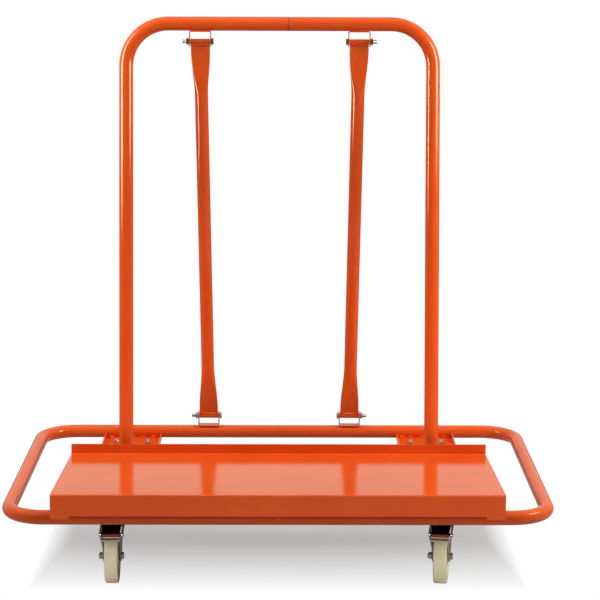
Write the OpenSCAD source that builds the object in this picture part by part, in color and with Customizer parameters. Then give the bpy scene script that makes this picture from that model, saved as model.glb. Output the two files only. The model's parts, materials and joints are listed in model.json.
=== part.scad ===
// Drywall cart: a low tube base on four swivel casters, a sloping sheet deck with a front lip,
// and a leaning tube hoop that two braces with flattened ends hold up from the rear rail.
// Millimetres, +Z up, front of the cart towards -Y, origin on the floor under the middle of the cart.

/* [Base loop] */
// Outside length of the base loop, side to side
base_l = 1150; // [1000:10:1350]
// Outside depth of the base loop, front to rear
base_d = 740; // [710:10:850]
// Outside diameter of the base tube
base_tube_d = 30; // [27:1:36]
// Wall of every tube
tube_wall = 2; // [1.5:0.1:2.6]
// Centre-line radius of the base corners
base_bend_r = 80; // [50:5:110]

/* [Cross channels] */
// Distance of channels, posts and casters from the middle of the cart
station_x = 347; // [310:1:400]
// Outside width of a cross channel
channel_w = 135; // [128:1:160]
// Height of a cross channel with its upturned edges
channel_h = 15; // [10:0.5:20]
// Sheet thickness of the cross channels
channel_t = 3; // [2:0.5:5]

/* [Deck] */
// Width of the deck, side to side
deck_w = 930; // [850:5:960]
// Sheet thickness of the deck
deck_t = 2; // [1.5:0.5:3]
// Flat length of the deck between its two folds, along the slope
deck_run = 414; // [380:1:430]
// Fall of the deck towards the rear, in degrees
deck_slope = 3.6; // [2:0.1:5]
// Height of the deck's front edge above the centre of the base tube
deck_rise = 52; // [46:1:60]
// Height of the front lip below the deck's front edge
lip_h = 45; // [38:1:48]
// Length of the deeper weld tabs at the ends of the lip
tab_l = 39; // [20:1:60]
// Extra depth of the weld tabs
tab_h = 5.5; // [3:0.5:8]
// Height of the rear upstand above the deck
upstand_h = 22.5; // [15:0.5:35]
// Inside radius of every sheet fold
fold_r = 2; // [1:0.5:3]
// Width of the bearers under the deck
bearer_w = 60; // [45:1:70]
// Length of the bearers
bearer_l = 210; // [120:5:220]
// Distance from the front rail's centre to the front end of the bearers
bearer_inset = 180; // [175:1:190]

/* [Hoop] */
// Outside diameter of the hoop tube
hoop_tube_d = 31.8; // [28:0.1:36]
// Length from the foot plates to the centre of the top bar, along the lean
hoop_rise = 993; // [800:1:1200]
// Centre-line radius of the hoop bends
hoop_bend_r = 95; // [70:5:130]
// Lean of the hoop towards the rear, in degrees
hoop_lean = 6.3; // [4:0.1:8]
// Distance of the hoop's feet behind the front rail's centre
foot_inset = 465; // [458:1:475]
// Place of the slip joint in the top bar, right of the middle
seam_x = 19; // [-60:1:60]
// Length of the spigot in the slip joint
spigot_l = 45; // [30:1:60]
// Side of the square foot plates
foot_side = 90; // [84:1:96]
// Thickness of the foot plates
foot_t = 5; // [4:0.5:8]
// Spacing of the foot bolts
foot_pitch = 66; // [62:1:70]

/* [Braces] */
// Outside diameter of the brace tube
brace_tube_d = 30; // [26:1:34]
// Distance of the braces' upper ends from the middle
brace_top_x = 180; // [130:1:220]
// Distance of the braces' lower ends from the middle
brace_foot_x = 168; // [130:1:220]
// Width of the flattened ends
flat_w = 43.5; // [40:0.5:46]
// Thickness of the flattened ends
flat_t = 6; // [5.5:0.5:9]
// Length of the flattened ends
flat_l = 14; // [8:1:30]
// Length over which the tube goes from round to flat
taper_l = 105; // [60:5:150]
// Outside diameter of the cross barrels
barrel_d = 12; // [11.5:0.5:14]
// Length of the cross barrels
barrel_l = 45; // [44:0.5:50]
// Distance from a tube's surface to the bolt in its bracket
bracket_reach = 24; // [20:0.5:30]
// Sheet thickness of the brackets
bracket_t = 2; // [1.5:0.5:3]
// Width of the brackets' ears
ear_w = 24; // [20:0.5:28]

/* [Casters] */
// Height of a caster from the floor to the top of its plate
caster_h = 147; // [144:1:165]
// Distance of the swivel axes from the nearest rail's centre
caster_inset = 113; // [109:1:118]
// Trail of the wheel behind the swivel axis
trail = 38; // [34:0.5:42]
// Wheel diameter
wheel_d = 114; // [108:0.5:116]
// Wheel width
wheel_w = 28; // [25:0.5:29]
// Length of the top plate
plate_l = 102; // [98:1:106]
// Width of the top plate
plate_w = 98; // [94:1:104]
// Thickness of the top plate
plate_t = 4; // [3:0.5:5]
// Bolt spacing of the top plate along the cart's depth
plate_pitch_l = 77; // [74:0.5:78]
// Bolt spacing of the top plate along the cart's length
plate_pitch_w = 73; // [71:0.5:76]
// Height of the ball bearing between plate and fork
swivel_h = 10; // [8.5:0.5:10.5]
// Diameter of the swivel balls
ball_d = 6; // [5:0.5:7]
// Number of swivel balls
ball_count = 14; // [10:1:15]
// Diameter of the kingpin
kingpin_d = 12; // [10:0.5:14]
// Sheet thickness of the fork
fork_t = 3.5; // [3:0.5:4]
// Outside width of the fork's crown
crown_w = 49; // [48:0.5:54]
// Length of the fork's crown
crown_l = 60; // [56:1:66]
// Radius of the fork's leg ends
leg_end_r = 11.5; // [11:0.5:13]
// Outside diameter of the wheel's bush
bush_d = 15; // [13.5:0.5:17]
// Turn of the front left caster at rest, in degrees
front_left_turn = 1; // [-20:1:20]
// Turn of the front right caster at rest, in degrees
front_right_turn = -8; // [-20:1:20]

/* [Brakes] */
// Distance of the pedal pin's centre from the wheel's tread
pin_out = 7; // [6.5:0.5:8]
// Diameter of the pedal pin
pin_d = 6; // [5:0.5:6.5]
// Length of the pedal in front of its pin
pedal_l = 20; // [18:0.5:24]
// Sheet thickness of the pedal
pedal_t = 2.5; // [2:0.5:3]
// Gap between the brake shoe and the tread with the pedal up
shoe_gap = 2.2; // [2:0.1:3]

/* [Fasteners] */
// Diameter of the frame bolts
bolt_d = 8; // [6:0.5:8]
// Size across flats of the frame bolts
bolt_af = 13; // [11:0.5:14]
// Diameter of the axle bolts
axle_d = 8; // [7:0.5:9]
// Size across flats of the axle bolts
axle_af = 13; // [12:0.5:15]

/* [Hidden] */
$fn = 48;
ORANGE = "#E0541A";
ZINC = "#B9BBBD";
NYLON = "#C4BB92";
STEEL = "#6E7074";

// Clearances
weld_gap = 0.2;
hole_gap = 0.25;
thread_gap = 0.05;
press_gap = 0.02;
running_gap = 0.05;
side_gap = 0.5;
face_gap = 0.3;
over = 1;

// Base loop
run_x = (base_l - base_tube_d) / 2;
run_y = (base_d - base_tube_d) / 2;
corner_x = run_x - base_bend_r;
corner_y = run_y - base_bend_r;
rail_z = caster_h + base_tube_d / 2;
// The lip stands in front of the loop, so the loop sits half of that behind the middle
loop_y = (deck_t + weld_gap) / 2;
front_y = loop_y - run_y;
rear_y = loop_y + run_y;

// Cross channels, with their undersides level with the underside of the base tube
channel_z = rail_z - base_tube_d / 2;
channel_floor = channel_z + channel_t;

// Deck profile: front fold, slope and rear fold, as points in Y and Z
fold_out = fold_r + deck_t;
lip_y = front_y - base_tube_d / 2 - weld_gap - deck_t;
deck_top = rail_z + deck_rise;
deck_along = [cos(deck_slope), -sin(deck_slope)];
deck_up = [sin(deck_slope), cos(deck_slope)];
front_fold = [lip_y + fold_out, deck_top - fold_out];
rear_fold = front_fold + (fold_out + fold_r) * deck_up + deck_run * deck_along;
deck_under = front_fold + fold_r * deck_up;

// Hoop
foot_y = front_y + foot_inset;
foot_top = channel_floor + foot_t;
bar_y = foot_y + hoop_rise * sin(hoop_lean);
bar_z = foot_top + hoop_rise * cos(hoop_lean);
hoop_bore = hoop_tube_d - 2 * tube_wall;
spigot_d = hoop_bore - 2 * running_gap;
shoulder_l = 4;
seam_gap = 0.6;

// Braces: pivot points in Y and Z, and the line between them
pivot_top = [bar_y, bar_z - hoop_tube_d / 2 - weld_gap - bracket_reach];
pivot_foot = [rear_y, rail_z + base_tube_d / 2 + weld_gap + bracket_reach];
brace_len = norm(pivot_top - pivot_foot);
brace_tilt = atan2(pivot_foot[0] - pivot_top[0], pivot_top[1] - pivot_foot[1]);
brace_end = barrel_d / 2 + weld_gap;
bracket_w = barrel_l + 2 * side_gap + 2 * bracket_t;

// Hexagon heads and nuts, by the size of the bolt
bolt_head_h = 0.66 * bolt_d;
nut_h = 0.8 * bolt_d;
bolt_spare = 4;
brace_spare = 9;
axle_head_h = 0.64 * axle_d;
axle_nut_h = 0.95 * axle_d;

// Caster heights and widths
axle_z = wheel_d / 2;
plate_z = caster_h - plate_t;
crown_top = plate_z - swivel_h;
ball_z = crown_top + swivel_h / 2;
race_gap = 1.6;
race_h = (swivel_h - race_gap) / 2;
race_land = 6;
race_in = kingpin_d / 2 + race_land;
race_out = crown_w / 2 - side_gap;
ball_r = (race_in + race_out) / 2;
ball_gap = 0.15;
king_flange_d = 1.5 * kingpin_d;
king_flange_h = plate_t / 2;
king_head_d = 1.8 * kingpin_d;
king_head_h = 4;
washer_t = 1.2;
washer_d = 1.5 * bush_d;
wheel_play = 0.4;
fork_in = wheel_w / 2 + washer_t + wheel_play;
fork_out = fork_in + fork_t;
crown_r = 8;
flare_land = 14;
flare_drop = 18;
flare_low = axle_z + leg_end_r + flare_land;
flare_high = crown_top - flare_drop;
axle = [-trail, axle_z];
plate_corner_r = 8;
// The crown's front is closed by a web that ends a little above the wheel
web_gap = 3;
web_low = wheel_d + web_gap;

// Wheel section
tread_r = 4;
hub_wall = 9;
hub_r = bush_d / 2 + hub_wall;
rim_t = 11;
recess = 5;

// Brake pedal, in the fork's own side view
pin_angle = 60;
pin = axle + (wheel_d / 2 + pin_out) * [-cos(pin_angle), sin(pin_angle)];
pin_ear_wall = 6;
pin_ear_r = pin_d / 2 + pin_ear_wall;
pin_head_h = 1;
pin_head_d = pin_d + 2 * pin_head_h;
pedal_pitch = 40;
pedal_back = 20;
pedal_hub_r = pin_d / 2 + pedal_t;
pedal_lift = pedal_hub_r + side_gap;
pedal_top_w = crown_w - 2 * (fork_t + side_gap);
rib_r = 2;
rib_pitch = 8;
rib_l = 2 * (fork_out - side_gap);
shoe_lag = 8;
shoe_angle = pin_angle - shoe_lag;
shoe_r = 2.5;
shoe_w = 0.8 * wheel_w;
shoe_hub_r = pedal_hub_r - side_gap;
shoe_web = 2 * (shoe_hub_r - side_gap);
shoe = axle + (wheel_d / 2 + shoe_gap + shoe_r) * [-cos(shoe_angle), sin(shoe_angle)];

// Name, side, end and turn at rest of each caster
CASTERS = [
    ["front_left", -1, -1, front_left_turn],
    ["front_right", 1, -1, front_right_turn],
    ["rear_left", -1, 1, 0],
    ["rear_right", 1, 1, 0]
];
CASTER_PIECES = [
    "caster_plate", "kingpin", "swivel_balls", "fork", "wheel", "wheel_bush", "axle_bolt", "axle_nut"
];

// Half width of the fork's clear space at a height above the floor
function leg_gap(z) = let (u = min(max((z - flare_low) / (flare_high - flare_low), 0), 1))
    fork_in + u * (crown_w / 2 - fork_t - fork_in);

pedal_w = 2 * (leg_gap(pin[1] - pedal_l) - side_gap);
pin_half = leg_gap(pin[1] + pin_ear_r) + fork_t;

// Extrusions of a flat profile along X and along Y, centred, with the profile's second axis upwards
module along_x(l) {
    rotate([90, 0, 90]) linear_extrude(l, center = true) children();
}

module along_y(l) {
    rotate([90, 0, 0]) linear_extrude(l, center = true) children();
}

module rod_x(d, l) {
    rotate([0, 90, 0]) cylinder(d = d, h = l, center = true);
}

module at_corners(pitch_x, pitch_y) {
    for (i = [-1, 1], j = [-1, 1]) translate([i * pitch_x / 2, j * pitch_y / 2, 0]) children();
}

// Bent stretch of sheet: a ring from radius r to r + t between two angles
module ring_sector(r, t, a0, a1) {
    far = 2 * (r + t);
    am = (a0 + a1) / 2;
    intersection() {
        difference() {
            circle(r + t);
            circle(r);
        }
        polygon([[0, 0], far * [cos(a0), sin(a0)], far * [cos(am), sin(am)], far * [cos(a1), sin(a1)]]);
    }
}

// Sheet folded to a U that opens upwards, standing on its web
module folded_u(w, h, t) {
    bend = fold_r + t;
    for (s = [-1, 1]) {
        translate([s * (w - t) / 2 - t / 2, bend]) square([t, h - bend]);
        translate([s * (w / 2 - bend), bend]) ring_sector(fold_r, t, s > 0 ? -90 : 180, s > 0 ? 0 : 270);
    }
    translate([bend - w / 2, 0]) square([w - 2 * bend, t]);
}

// Strip with round ends of two radii, whose sides run a little inside the rounds
module link(c1, r1, c2, r2) {
    d = c2 - c1;
    across = 0.95 * [-d[1], d[0]] / norm(d);
    translate(c1) circle(r1);
    translate(c2) circle(r2);
    polygon([c1 + r1 * across, c2 + r2 * across, c2 - r2 * across, c1 - r1 * across]);
}

module rounded_plate(w, l, t, r) {
    linear_extrude(t) {
        square([w - 2 * r, l], center = true);
        square([w, l - 2 * r], center = true);
        at_corners(w - 2 * r, l - 2 * r) circle(r);
    }
}

// Hexagon whose corners are turned off at both ends by cones of 30 degrees
module hexagon(af, h) {
    corner = af / cos(30) / 2;
    land = 0.475 * af;
    far = 1.1 * corner;
    rise = (far - land) * tan(30);
    intersection() {
        cylinder(r = corner, h = h, $fn = 6);
        rotate_extrude()
            polygon([[0, 0], [land, 0], [far, rise], [far, h - rise], [land, h], [0, h]]);
    }
}

// Hexagon bolt along +Z with the underside of its head at the origin
module hex_bolt(d, af, head_h, l) {
    translate([0, 0, -head_h]) hexagon(af, head_h);
    translate([0, 0, -head_h / 2]) cylinder(d = d, h = l + head_h / 2);
}

module hex_nut(d, af, h) {
    difference() {
        hexagon(af, h);
        translate([0, 0, -over]) cylinder(d = d + 2 * thread_gap, h = h + 2 * over);
    }
}

// Base loop: one tube bent round and welded shut at the middle of the front and rear rails
module half_loop(d, extra) {
    for (end = [0, 1]) mirror([0, end, 0]) {
        translate([-extra, -run_y, 0]) rotate([0, 90, 0]) cylinder(d = d, h = corner_x + extra);
        translate([corner_x, -corner_y, 0]) rotate([0, 0, -90])
            rotate_extrude(angle = 90) translate([base_bend_r, 0]) circle(d = d);
    }
    translate([run_x, -corner_y, 0]) rotate([-90, 0, 0]) cylinder(d = d, h = 2 * corner_y);
}

module base_loop(side) {
    color(ORANGE) translate([0, loop_y, rail_z]) mirror([side < 0 ? 1 : 0, 0, 0]) difference() {
        half_loop(base_tube_d, 0);
        half_loop(base_tube_d - 2 * tube_wall, over);
    }
}

module cross_channel(side) {
    color(ORANGE) difference() {
        translate([side * station_x, loop_y, channel_z])
            along_y(2 * run_y) folded_u(channel_w, channel_h, channel_t);
        for (y = [front_y, rear_y]) translate([side * station_x, y, rail_z])
            rod_x(base_tube_d + 2 * weld_gap, channel_w + 2 * over);
        for (c = CASTERS) if (c[1] == side) at_caster_bolts(c, channel_z - over)
            cylinder(d = bolt_d + 2 * hole_gap, h = channel_t + 2 * over);
        at_foot_bolts(side, channel_z - over) cylinder(d = bolt_d + 2 * hole_gap, h = channel_t + 2 * over);
    }
}

module deck_profile() {
    translate([lip_y, deck_top - lip_h]) square([deck_t, lip_h - fold_out]);
    translate(front_fold) ring_sector(fold_r, deck_t, 90 - deck_slope, 180);
    translate(deck_under) rotate(-deck_slope) square([deck_run, deck_t]);
    translate(rear_fold) ring_sector(fold_r, deck_t, -90 - deck_slope, -deck_slope);
    translate(rear_fold + fold_r * deck_along) rotate(-deck_slope) square([deck_t, upstand_h - fold_r]);
}

module deck() {
    color(ORANGE) {
        along_x(deck_w) deck_profile();
        for (side = [-1, 1]) translate([side * (deck_w - tab_l) / 2, lip_y, deck_top - lip_h - tab_h])
            translate([-tab_l / 2, 0, 0]) cube([tab_l, deck_t, tab_h + over]);
    }
}

// Folded bearer between a cross channel and the sloping underside of the deck
module deck_bearer(side) {
    tall = 2 * deck_rise;
    wide = bearer_w + 2 * over;
    color(ORANGE) difference() {
        translate([side * station_x, deck_under[0], deck_under[1]]) rotate([-deck_slope, 0, 0])
            translate([0, front_y + bearer_inset + bearer_l / 2 - deck_under[0], 0])
            along_y(bearer_l) mirror([0, 1]) folded_u(bearer_w, tall, channel_t);
        translate([side * station_x - wide / 2, front_y, channel_floor - tall])
            cube([wide, base_d, tall]);
    }
}

module at_hoop() {
    translate([0, foot_y, foot_top]) rotate([-hoop_lean, 0, 0]) children();
}

// One half of the hoop as a J: a post, a bend and a stretch of the top bar
module hoop_tube(side, d, bar_end) {
    reach = station_x - hoop_bend_r;
    mirror([side < 0 ? 1 : 0, 0, 0]) {
        translate([station_x, 0, -hoop_tube_d]) cylinder(d = d, h = hoop_rise - hoop_bend_r + hoop_tube_d);
        translate([reach, 0, hoop_rise - hoop_bend_r]) rotate([90, 0, 0])
            rotate_extrude(angle = 90) translate([hoop_bend_r, 0]) circle(d = d);
        translate([side * bar_end, 0, hoop_rise]) rotate([0, 90, 0])
            cylinder(d = d, h = reach - side * bar_end);
    }
}

module hoop_foot_cut(side) {
    cut = 2 * hoop_tube_d;
    translate([side * station_x - cut, foot_y - cut, foot_top - cut]) cube([2 * cut, 2 * cut, cut]);
}

// The left half ends in a swaged spigot that slides into the right half
module hoop_left() {
    color(ORANGE) difference() {
        at_hoop() difference() {
            union() {
                hoop_tube(-1, hoop_tube_d, seam_x);
                translate([seam_x, 0, hoop_rise]) rotate([0, 90, 0]) cylinder(d = spigot_d, h = spigot_l);
            }
            hoop_tube(-1, hoop_bore, seam_x - shoulder_l);
            translate([seam_x - shoulder_l - over, 0, hoop_rise]) rotate([0, 90, 0])
                cylinder(d = spigot_d - 2 * tube_wall, h = spigot_l + shoulder_l + 2 * over);
        }
        hoop_foot_cut(-1);
    }
}

module hoop_right() {
    color(ORANGE) difference() {
        at_hoop() difference() {
            hoop_tube(1, hoop_tube_d, seam_x + seam_gap);
            hoop_tube(1, hoop_bore, seam_x - over);
        }
        hoop_foot_cut(1);
    }
}

module at_foot_bolts(side, z) {
    translate([side * station_x, foot_y, z]) at_corners(foot_pitch, foot_pitch) children();
}

module foot_plate(side) {
    color(ORANGE) difference() {
        translate([side * station_x, foot_y, channel_floor])
            rounded_plate(foot_side, foot_side, foot_t, plate_corner_r);
        at_foot_bolts(side, channel_floor - over) cylinder(d = bolt_d + 2 * hole_gap, h = foot_t + 2 * over);
    }
}

module foot_bolts() {
    color(ZINC) for (side = [-1, 1]) at_foot_bolts(side, foot_top) mirror([0, 0, 1])
        hex_bolt(bolt_d, bolt_af, bolt_head_h, foot_t + channel_t + nut_h + bolt_spare);
}

module foot_nuts() {
    color(ZINC) for (side = [-1, 1]) at_foot_bolts(side, channel_z - nut_h) hex_nut(bolt_d, bolt_af, nut_h);
}

// Brace: a round tube whose ends are pressed flat, as one wall swept along its length
brace_sides = 28;
brace_steps = 8;
brace_start = brace_end;
brace_stop = brace_len - brace_end;

function ease(u) = u * u * (3 - 2 * u);
function signed_power(v, p) = sign(v) * pow(abs(v), p);

// Rows of the sweep: height along the brace, and how far the tube is pressed flat there
brace_rows = concat(
    [[brace_start, 1]],
    [for (i = [0:brace_steps]) let (u = i / brace_steps) [brace_start + flat_l + taper_l * u, 1 - ease(u)]],
    [for (i = [0:brace_steps]) let (u = i / brace_steps) [brace_stop - flat_l - taper_l * (1 - u), ease(u)]],
    [[brace_stop, 1]]
);

// One ring of the tube's wall, set in by the wall for the inner face
function brace_ring(row, side, inset) = let (
        press = row[1],
        a = brace_tube_d / 2 + press * (flat_w - brace_tube_d) / 2 - inset,
        b = brace_tube_d / 2 + press * (flat_t - brace_tube_d) / 2 - inset,
        p = 1 / (1 + press),
        middle = side * (brace_foot_x + (brace_top_x - brace_foot_x) * row[0] / brace_len)
    ) [for (j = [0:brace_sides - 1]) let (t = 360 * (j + 0.5) / brace_sides)
        [middle + a * signed_power(cos(t), p), b * signed_power(sin(t), p), row[0]]];

module brace(side) {
    n = brace_sides;
    rows = len(brace_rows);
    inner = rows * n;
    points = [
        for (inset = [0, min(tube_wall, flat_t / 3)]) for (row = brace_rows) each brace_ring(row, side, inset)
    ];
    walls = [
        for (r = [0:rows - 2], j = [0:n - 1]) let (
            a = r * n + j, b = r * n + n + j, c = r * n + n + (j + 1) % n, d = r * n + (j + 1) % n
        ) each [
            [a, b, c], [a, c, d],
            [inner + a, inner + c, inner + b], [inner + a, inner + d, inner + c]
        ]
    ];
    ends = [
        for (j = [0:n - 1]) let (k = (j + 1) % n, top = (rows - 1) * n) each [
            [j, k, inner + k], [j, inner + k, inner + j],
            [top + j, inner + top + k, top + k], [top + j, inner + top + j, inner + top + k]
        ]
    ];
    color(ORANGE) translate([0, pivot_foot[0], pivot_foot[1]]) rotate([brace_tilt, 0, 0])
        polyhedron(points, concat(walls, ends));
}

// Places of a brace's two bolts, each with +X pointing away from the middle of the cart
module at_brace_bolts(side) {
    for (p = [[brace_foot_x, pivot_foot], [brace_top_x, pivot_top]])
        translate([side * p[0], p[1][0], p[1][1]]) mirror([side < 0 ? 1 : 0, 0, 0]) children();
}

module brace_barrels(side) {
    color(ORANGE) at_brace_bolts(side) difference() {
        rod_x(barrel_d, barrel_l);
        rod_x(bolt_d + 2 * hole_gap, barrel_l + 2 * over);
    }
}

// U bracket that stands on a tube below the origin, with its bolt through the origin
module bracket() {
    difference() {
        intersection() {
            along_y(ear_w) translate([0, -bracket_reach])
                folded_u(bracket_w, bracket_reach + ear_w / 2, bracket_t);
            along_x(bracket_w) {
                circle(d = ear_w);
                translate([-ear_w / 2, -bracket_reach]) square([ear_w, bracket_reach]);
            }
        }
        rod_x(bolt_d + 2 * hole_gap, bracket_w + 2 * over);
    }
}

module upper_brackets() {
    color(ORANGE) for (side = [-1, 1]) translate([side * brace_top_x, pivot_top[0], pivot_top[1]])
        rotate([180, 0, 0]) bracket();
}

module lower_brackets() {
    color(ORANGE) for (side = [-1, 1]) translate([side * brace_foot_x, pivot_foot[0], pivot_foot[1]]) bracket();
}

module brace_bolts() {
    color(ZINC) for (side = [-1, 1]) at_brace_bolts(side) translate([-bracket_w / 2, 0, 0]) rotate([0, 90, 0])
        hex_bolt(bolt_d, bolt_af, bolt_head_h, bracket_w + nut_h + brace_spare);
}

module brace_nuts() {
    color(ZINC) for (side = [-1, 1]) at_brace_bolts(side) translate([bracket_w / 2, 0, 0]) rotate([0, 90, 0])
        hex_nut(bolt_d, bolt_af, nut_h);
}

// A caster stands on the floor under its swivel axis, with the wheel trailing towards -Y
module at_caster(c) {
    y = c[2] < 0 ? front_y + caster_inset : rear_y - caster_inset;
    translate([c[1] * station_x, y, 0]) children();
}

module turned(c) {
    at_caster(c) rotate([0, 0, c[3]]) children();
}

module at_caster_bolts(c, z) {
    at_caster(c) translate([0, 0, z]) at_corners(plate_pitch_w, plate_pitch_l) children();
}

// Half of the ball bearing: a ring with a groove for the balls, between two heights
module race(low, high) {
    rotate_extrude() difference() {
        translate([race_in, low]) square([race_out - race_in, high - low]);
        translate([ball_r, ball_z]) circle(ball_d / 2 + ball_gap);
    }
}

module caster_plate(c) {
    color(ZINC) at_caster(c) difference() {
        union() {
            translate([0, 0, plate_z]) rounded_plate(plate_w, plate_l, plate_t, plate_corner_r);
            race(plate_z - race_h, plate_z + plate_t / 2);
        }
        translate([0, 0, plate_z - over]) cylinder(d = kingpin_d + 2 * press_gap, h = plate_t + 2 * over);
        translate([0, 0, caster_h - king_flange_h])
            cylinder(d = king_flange_d + 2 * press_gap, h = king_flange_h + over);
        translate([0, 0, plate_z - over]) at_corners(plate_pitch_w, plate_pitch_l)
            cylinder(d = bolt_d + 2 * hole_gap, h = plate_t + 2 * over);
    }
}

module caster_bolts() {
    color(ZINC) for (c = CASTERS) at_caster_bolts(c, plate_z)
        hex_bolt(bolt_d, bolt_af, bolt_head_h, plate_t + channel_t + nut_h + bolt_spare);
}

module caster_nuts() {
    color(ZINC) for (c = CASTERS) at_caster_bolts(c, channel_floor) hex_nut(bolt_d, bolt_af, nut_h);
}

module kingpin(c) {
    foot = crown_top - fork_t - face_gap - king_head_h;
    color(STEEL) at_caster(c) {
        translate([0, 0, foot]) cylinder(d = king_head_d, h = king_head_h);
        translate([0, 0, foot]) cylinder(d = kingpin_d, h = caster_h - foot);
        translate([0, 0, caster_h - king_flange_h]) cylinder(d = king_flange_d, h = king_flange_h);
    }
}

module swivel_balls(c) {
    color(STEEL) turned(c) for (i = [0:ball_count - 1]) rotate([0, 0, 360 * i / ball_count])
        translate([ball_r, 0, ball_z]) sphere(d = ball_d);
}

// Front view of the fork, set in by its sheet for the space inside
module fork_front(inset) {
    low = fork_out - inset;
    top = crown_w / 2 - inset;
    z = crown_top - inset;
    r = crown_r - inset;
    base = axle_z - leg_end_r - over - inset;
    polygon([
        [-low, base], [low, base], [low, flare_low], [top, flare_high], [top, z - r], [top - r, z],
        [r - top, z], [-top, z - r], [-top, flare_high], [-low, flare_low]
    ]);
    for (s = [-1, 1]) translate([s * (top - r), z - r]) circle(r);
}

// Side view of the fork; a braked fork reaches forwards to its pedal pin
module fork_side(braked) {
    half = crown_l / 2 - crown_r;
    low = crown_top - crown_r - fork_t;
    rear = [half, low];
    front = [-half, low];
    link(axle, leg_end_r, rear, crown_r);
    link(axle, leg_end_r, front, crown_r);
    polygon([axle, rear, front]);
    translate([-crown_l / 2, low]) square([crown_l, crown_top - low]);
    if (braked) {
        link(axle, leg_end_r, pin, pin_ear_r);
        link(pin, pin_ear_r, front, crown_r);
        polygon([axle, front, pin]);
    }
}

module fork(c) {
    braked = c[2] < 0;
    depth = 2 * (trail + wheel_d);
    color(ZINC) turned(c) difference() {
        union() {
            intersection() {
                along_y(depth) difference() {
                    fork_front(0);
                    fork_front(fork_t);
                }
                along_x(crown_w + 2 * over) fork_side(braked);
            }
            translate([0, (fork_t - crown_l) / 2 + side_gap, 0]) along_y(fork_t) intersection() {
                fork_front(0);
                translate([-crown_w / 2, web_low]) square([crown_w, crown_top - web_low]);
            }
            race(crown_top - fork_t / 2, crown_top + race_h);
        }
        translate([0, 0, crown_top - fork_t - over])
            cylinder(d = kingpin_d + 2 * running_gap, h = fork_t + race_h + 2 * over);
        translate([0, axle[0], axle[1]]) rod_x(axle_d + 2 * hole_gap, crown_w + 2 * over);
        if (braked) translate([0, pin[0], pin[1]]) rod_x(pin_d + 2 * press_gap, crown_w + 2 * over);
    }
}

module at_axle(c) {
    turned(c) translate([0, axle[0], axle[1]]) children();
}

module wheel_profile() {
    bore = bush_d / 2 + running_gap;
    edge = wheel_d / 2 - tread_r;
    difference() {
        union() {
            translate([bore, -wheel_w / 2]) square([edge - bore, wheel_w]);
            translate([bore, tread_r - wheel_w / 2]) square([wheel_d / 2 - bore, wheel_w - 2 * tread_r]);
            for (s = [-1, 1]) translate([edge, s * (wheel_w / 2 - tread_r)]) circle(tread_r);
        }
        for (s = [-1, 1]) translate([hub_r, s * wheel_w / 2 - recess])
            square([wheel_d / 2 - rim_t - hub_r, 2 * recess]);
    }
}

module wheel(c) {
    color(NYLON) at_axle(c) rotate([0, 90, 0]) rotate_extrude() wheel_profile();
}

// Steel sleeve that the wheel turns on, clamped between the legs, with a washer at each end
module wheel_bush(c) {
    color(STEEL) at_axle(c) {
        difference() {
            rod_x(bush_d, 2 * fork_in);
            rod_x(axle_d + 2 * hole_gap, 2 * fork_in + 2 * over);
        }
        for (s = [-1, 1]) translate([s * (fork_in - washer_t / 2), 0, 0]) difference() {
            rod_x(washer_d, washer_t);
            rod_x(bush_d + 2 * press_gap, washer_t + 2 * over);
        }
    }
}

module axle_bolt(c) {
    color(ZINC) at_axle(c) translate([fork_out, 0, 0]) rotate([0, -90, 0])
        hex_bolt(axle_d, axle_af, axle_head_h, 2 * fork_out + axle_nut_h + bolt_spare / 2);
}

module axle_nut(c) {
    color(ZINC) at_axle(c) translate([-fork_out, 0, 0]) rotate([0, -90, 0])
        hex_nut(axle_d, axle_af, axle_nut_h);
}

// Pressed pedal that rocks on a pin between the fork's legs and sets a shoe on the tread
module pedal_wall() {
    foot = 0.8 * pedal_hub_r;
    circle(pedal_hub_r);
    polygon([[-pedal_l / 2, pedal_lift], foot * [-1, -0.5], foot * [1, -0.5], [pedal_back, pedal_lift]]);
}

module brake_pedal(c) {
    wall_x = (pedal_w - pedal_t) / 2;
    color(ZINC) turned(c) translate([0, pin[0], pin[1]]) difference() {
        union() {
            rotate([pedal_pitch, 0, 0]) translate([0, 0, pedal_lift - pedal_t / 2]) linear_extrude(pedal_t)
                polygon([
                    [-pedal_w / 2, -pedal_l], [pedal_w / 2, -pedal_l],
                    [pedal_top_w / 2, pedal_back], [-pedal_top_w / 2, pedal_back]
                ]);
            for (along = [0, rib_pitch]) along_x(rib_l) rotate(pedal_pitch)
                translate([along - pedal_l, pedal_lift + pedal_t / 4]) circle(rib_r);
            for (s = [-1, 1]) translate([s * wall_x, 0, 0])
                along_x(pedal_t) rotate(pedal_pitch) pedal_wall();
            along_x(shoe_w) {
                link([0, 0], shoe_hub_r, shoe - pin, shoe_r);
                rotate(pedal_pitch) translate([-shoe_web / 2, 0]) square([shoe_web, pedal_lift]);
            }
        }
        rod_x(pin_d + 2 * running_gap, pedal_w + 2 * over);
    }
}

module brake_pin(c) {
    color(STEEL) turned(c) translate([0, pin[0], pin[1]]) {
        rod_x(pin_d, 2 * pin_half + pin_head_h);
        for (s = [-1, 1]) translate([s * (pin_half + pin_head_h / 2), 0, 0]) rod_x(pin_head_d, pin_head_h);
    }
}

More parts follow.
